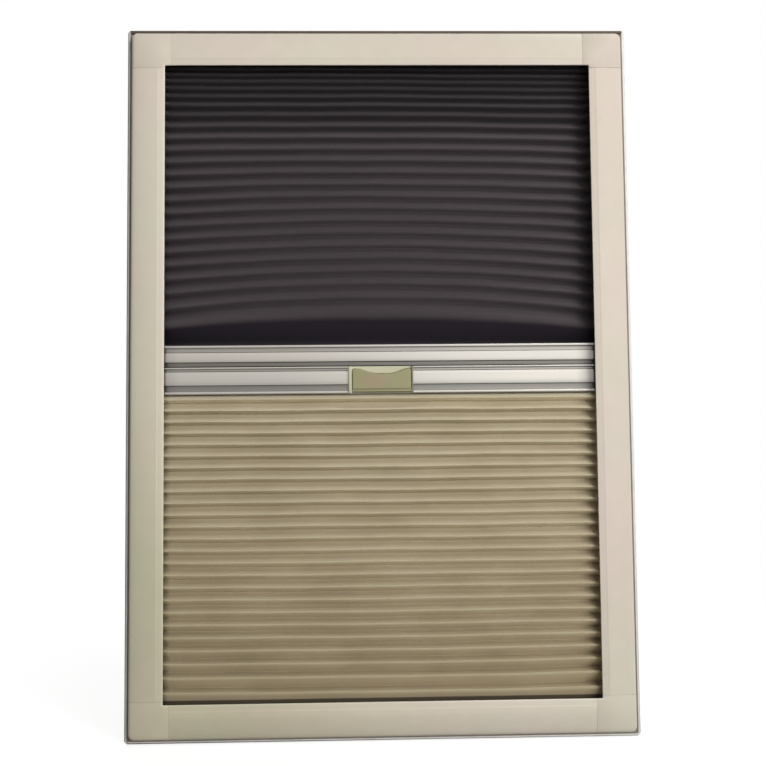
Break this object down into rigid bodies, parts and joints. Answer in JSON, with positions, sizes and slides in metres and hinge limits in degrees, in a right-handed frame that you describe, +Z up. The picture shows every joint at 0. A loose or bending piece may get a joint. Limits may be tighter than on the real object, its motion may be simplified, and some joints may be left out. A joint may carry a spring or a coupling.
{
  "type": "skylight window blind",
  "caption": "Rectangular cassette frame with a pleated insect screen above and a pleated blackout blind below, each on an aluminium rail that slides in side channels.",
  "frame": {"origin": "middle of the width and depth, at the lower edge of the gasket", "axes": "+X to the right and +Z up as seen from the room, -Y towards the room, +Y into the roof cut-out"},
  "size_m": [0.51, 0.03, 0.716],
  "materials": {
    "frame_cream": "satin cream",
    "corner_cream": "fine moulded cream",
    "seal_rubber": "matt dark",
    "rail_aluminium": "satin anodised",
    "inner_plastic": "matt grey",
    "screen_net": "fine black mesh",
    "blind_fabric": "matt beige cloth",
    "handle_pale": "satin pale",
    "handle_olive": "satin olive beige",
    "steel": "plain steel"
  },
  "bodies": {
    "frame": {"top_profile": "frame_cream", "bottom_profile": "frame_cream", "left_profile": "frame_cream", "right_profile": "frame_cream", "corner_top_left": "corner_cream", "corner_top_right": "corner_cream", "corner_bottom_left": "corner_cream", "corner_bottom_right": "corner_cream", "gasket_top": "seal_rubber", "gasket_bottom": "seal_rubber", "gasket_left": "seal_rubber", "gasket_right": "seal_rubber", "screen_anchor": "inner_plastic", "blind_anchor": "inner_plastic", "screen_cloth": "screen_net", "blind_cloth": "blind_fabric", "guide_wire_left": "steel", "guide_wire_right": "steel", "wire_anchor_top_left": "inner_plastic", "wire_anchor_top_right": "inner_plastic", "wire_anchor_bottom_left": "inner_plastic", "wire_anchor_bottom_right": "inner_plastic", "frame_screw_1": "steel", "frame_screw_2": "steel", "frame_screw_3": "steel", "frame_screw_4": "steel", "frame_screw_5": "steel", "frame_screw_6": "steel", "frame_screw_7": "steel", "frame_screw_8": "steel", "frame_screw_9": "steel", "frame_screw_10": "steel"},
    "screen_rail": {"screen_rail": "rail_aluminium", "screen_clamp": "inner_plastic", "meeting_seal": "seal_rubber", "screen_rail_cap_left": "inner_plastic", "screen_rail_cap_right": "inner_plastic"},
    "blind_rail": {"blind_rail": "rail_aluminium", "blind_clamp": "inner_plastic", "blind_rail_cap_left": "inner_plastic", "blind_rail_cap_right": "inner_plastic", "handle_base": "handle_pale", "latch_pin": "steel", "base_screw_left": "steel", "base_screw_right": "steel", "latch_spring_left": "steel", "latch_spring_right": "steel"},
    "latch": {"handle_latch": "handle_olive"}
  },
  "joints": [
    {"name": "screen_rail_slide", "type": "slide", "parent": "frame", "child": "screen_rail", "axis": [0, 0, 1], "range_m": [0, 0.262], "deforming": ["screen_cloth"]},
    {"name": "blind_rail_slide", "type": "slide", "parent": "frame", "child": "blind_rail", "axis": [0, 0, -1], "range_m": [0, 0.27], "deforming": ["blind_cloth"]},
    {"name": "latch_tilt", "type": "hinge", "parent": "blind_rail", "child": "latch", "pos_m": [0, -0.0132, 0.3447], "axis": [1, 0, 0], "range_deg": [0, 8], "stiffness_Nm_per_rad": 0.06, "springref_deg": -8.59, "deforming": ["latch_spring_left", "latch_spring_right"]}
  ]
}
